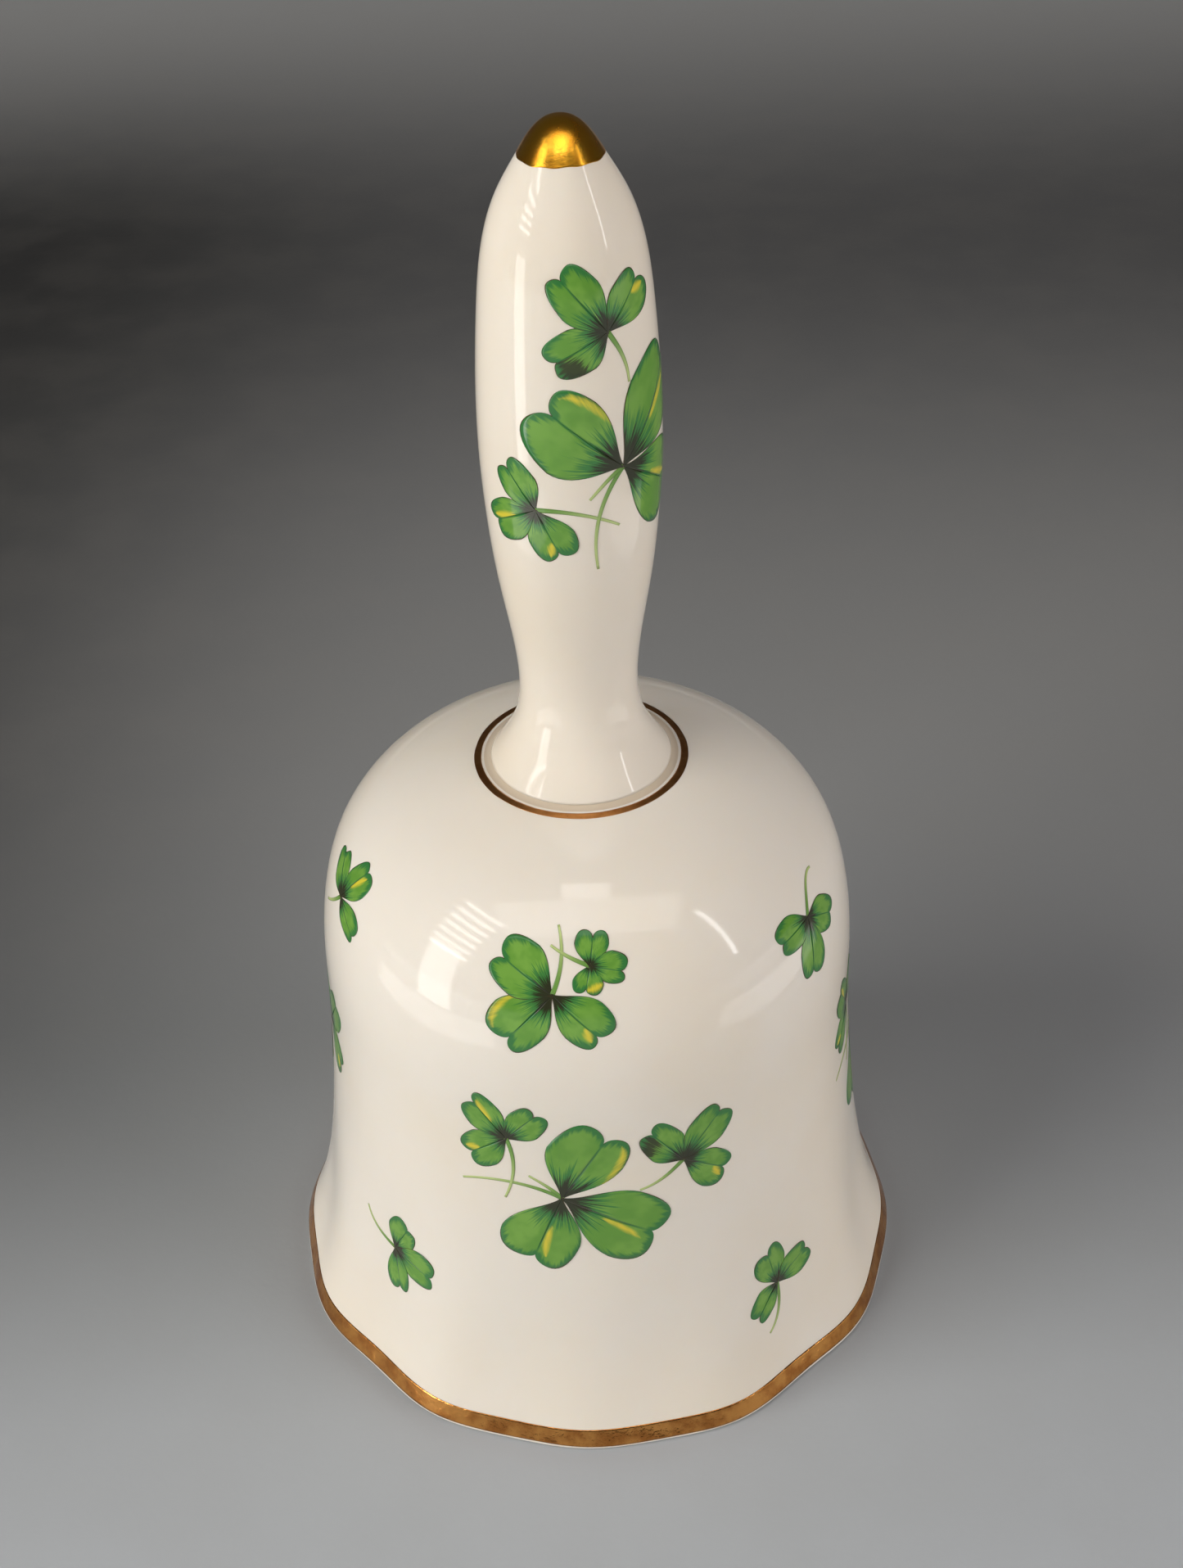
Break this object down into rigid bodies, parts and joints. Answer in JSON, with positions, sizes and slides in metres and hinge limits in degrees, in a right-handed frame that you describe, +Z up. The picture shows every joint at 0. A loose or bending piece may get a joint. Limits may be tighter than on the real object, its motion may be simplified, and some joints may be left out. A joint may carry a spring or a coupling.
{
  "type": "porcelain hand bell",
  "caption": "Fluted china bell with a slender hollow handle cemented on its crown and a china bead clapper hung inside on a wire and a link.",
  "frame": {"origin": "centre of the circle that the rim stands on", "axes": "+Z up the bell's axis towards the handle's tip, -Y towards the front, +X to the right seen from the front"},
  "size_m": [0.0728, 0.0728, 0.1404],
  "materials": {
    "body_china": "glossy warm white glaze with fired transfer prints and gilding",
    "handle_china": "glossy ivory glaze with fired transfer prints and a gilt tip",
    "cement": "smooth white",
    "plaster": "matt, chalky",
    "brass_wire": "drawn, slightly tarnished",
    "clapper_china": "glossy white glaze"
  },
  "bodies": {
    "bell": {"bell_body": "body_china", "handle": "handle_china", "foot_bead": "cement", "crown_plug": "plaster", "hanger_staple": "brass_wire"},
    "link": {"hanger_link": "brass_wire"},
    "clapper": {"clapper_wire": "brass_wire", "clapper_ball": "clapper_china"}
  },
  "joints": [
    {"name": "link_swing", "type": "hinge", "parent": "bell", "child": "link", "pos_m": [0, 0, 0.063], "axis": [1, 0, 0], "range_deg": [-21, 21]},
    {"name": "clapper_swing", "type": "hinge", "parent": "link", "child": "clapper", "pos_m": [0, 0, 0.0576], "axis": [0, 1, 0], "range_deg": [-21, 21]}
  ]
}
